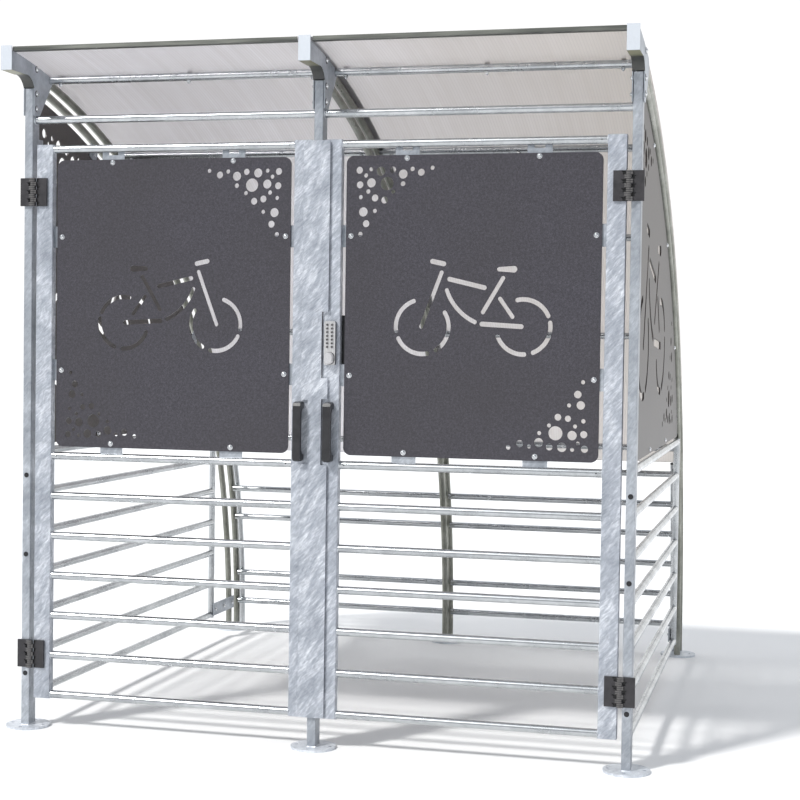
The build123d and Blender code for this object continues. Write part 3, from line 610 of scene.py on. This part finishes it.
side = Heap("side_panel_bolts", "bolt", "frame", "lock_metal")
side_pts = [(0.0755, z) for z in (1.100, 1.550, 2.000)] + [(0.560, 0.990), (1.180, 0.990)]
for y in (0.520, 1.120, 1.560):
    ya, za, t = arch_at(ARCH_IN, y)
    side_pts.append((ya - 0.048 * math.sin(t), za - 0.048 * math.cos(t)))
for s in (-1, 1):
    for y, z in side_pts:
        side.add(*turned(DOME, (s * (POST_X + 0.003), y, z), (s, 0, 0), 24, rnd.random()))
        side.add(*turned(NUT, (s * (POST_X - 0.006), y, z), (-s, 0, 0), 6, rnd.random()))
side.done()

beads = Heap("frame_welds", "weld", "frame", "galvanised")
for s in (-1, 1):
    for k, z in enumerate(SIDE_RAIL_Z):
        beads.add(*weld_ring((s * POST_X, 0.050, z), (0, 1, 0), TUBE_R, k + 5))
for x in (-POST_X, 0.0, POST_X):
    for s in (-1, 1):
        if abs(x + s * 0.02) < POST_X:
            beads.add(*weld_ring((x + s * 0.015, 0.025, 2.090), (s, 0, 0), TUBE_R, int(x * 7) + 12))
    beads.add(*weld_box(x, 0.025, 0.008, 0.015, 0.025, int(x * 5) + 9))
    yo, yi = arch_low(ARCH_OUT, 0.008)[0], arch_low(ARCH_IN, 0.008)[0]
    for y in (yo, yi):
        beads.add(*weld_ring((x, y, 0.008), (0, 0, 1), TUBE_R, int(y * 11) + 2, w=0.0032))
beads.done()

lugs = Heap("foot_clamp_bolts", "bolt", "frame", "lock_metal")
lo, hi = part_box("foot_clamps")
for s in (-1, 1):
    for y in (lo[1] + 0.022, (lo[1] + hi[1]) / 2, hi[1] - 0.022):
        lugs.add(*turned(DOME, (s * (POST_X - TUBE_R - 0.003 - 0.003), y, 0.135), (-s, 0, 0), 24, rnd.random()))
lugs.done()

# ------------------------------------------------------------------ stage, light, camera
floor_me = bpy.data.meshes.new("floor")
R = 60.0
floor_me.from_pydata([(-R, -R, 0), (R, -R, 0), (R, R, 0), (-R, R, 0)], [], [(0, 1, 2, 3)])
floor = bpy.data.objects.new("floor", floor_me)
bpy.context.scene.collection.objects.link(floor)
fm = Mat("pale_floor")
fm.set(Base_Color=(0.90, 0.90, 0.90, 1.0), Roughness=0.9)
fm.b.inputs["Specular IOR Level"].default_value = 0.1
floor.data.materials.append(fm.m)

world = bpy.data.worlds.new("studio")
bpy.context.scene.world = world
world.use_nodes = True
wn = world.node_tree
wn.nodes.clear()
wo = wn.nodes.new("ShaderNodeOutputWorld")
bg = wn.nodes.new("ShaderNodeBackground")
tc = wn.nodes.new("ShaderNodeTexCoord")
sep = wn.nodes.new("ShaderNodeSeparateXYZ")
front = wn.nodes.new("ShaderNodeValToRGB")
height = wn.nodes.new("ShaderNodeValToRGB")
mul = wn.nodes.new("ShaderNodeMix")
mul.data_type, mul.blend_type = "RGBA", "MULTIPLY"
half = wn.nodes.new("ShaderNodeMapRange")
half.inputs["From Min"].default_value, half.inputs["From Max"].default_value = -1.0, 1.0
wn.links.new(tc.outputs["Generated"], sep.inputs[0])
wn.links.new(sep.outputs[1], half.inputs["Value"])
wn.links.new(half.outputs["Result"], front.inputs[0])
wn.links.new(sep.outputs[2], height.inputs[0])
sock = {x.identifier: x for x in mul.inputs}
sock["Factor_Float"].default_value = 1.0
wn.links.new(front.outputs[0], sock["A_Color"])
wn.links.new(height.outputs[0], sock["B_Color"])
wn.links.new(next(x for x in mul.outputs if x.identifier == "Result_Color"), bg.inputs["Color"])
wn.links.new(bg.outputs[0], wo.inputs[0])
# bright wall behind the object, a darker room behind the viewer
for e, (pos, c) in zip(front.color_ramp.elements, ((0.15, (0.48, 0.50, 0.53, 1)), (0.72, (1.0, 1.0, 1.0, 1)))):
    e.position, e.color = pos, c
for e, (pos, c) in zip(height.color_ramp.elements, ((0.30, (1.0, 1.0, 1.0, 1)), (0.95, (0.82, 0.86, 0.92, 1)))):
    e.position, e.color = pos, c
bg.inputs["Strength"].default_value = 1.06


key = bpy.data.lights.new("key", "SUN")
key.energy, key.angle, key.color = 3.0, math.radians(7.0), (1.0, 0.99, 0.97)
key_o = bpy.data.objects.new("key", key)
key_o.rotation_euler = Vector((0.60, 0.85, -1.0)).to_track_quat("-Z", "Y").to_euler()
bpy.context.scene.collection.objects.link(key_o)

cam_data = bpy.data.cameras.new("camera")
cam = bpy.data.objects.new("camera", cam_data)
bpy.context.scene.collection.objects.link(cam)
yaw, pitch, roll = 0.24814, 0.03203, 0.01415
fwd = Vector((-math.sin(yaw) * math.cos(pitch), math.cos(yaw) * math.cos(pitch), -math.sin(pitch)))
right = Vector((math.cos(yaw), math.sin(yaw), 0.0))
up = right.cross(fwd)
r2 = math.cos(roll) * right + math.sin(roll) * up
u2 = -math.sin(roll) * right + math.cos(roll) * up
m = Matrix.Identity(4)
for i in range(3):
    m[i][0], m[i][1], m[i][2] = r2[i], u2[i], -fwd[i]
m[0][3], m[1][3], m[2][3] = 1.56879, -5.05964, 1.32696
cam.matrix_world = m
cam_data.sensor_width = 36.0
cam_data.lens = 1614.677 / 800 * 36.0
cam_data.clip_end = 100.0
bpy.context.scene.camera = cam
bpy.context.scene.view_settings.view_transform = "Standard"
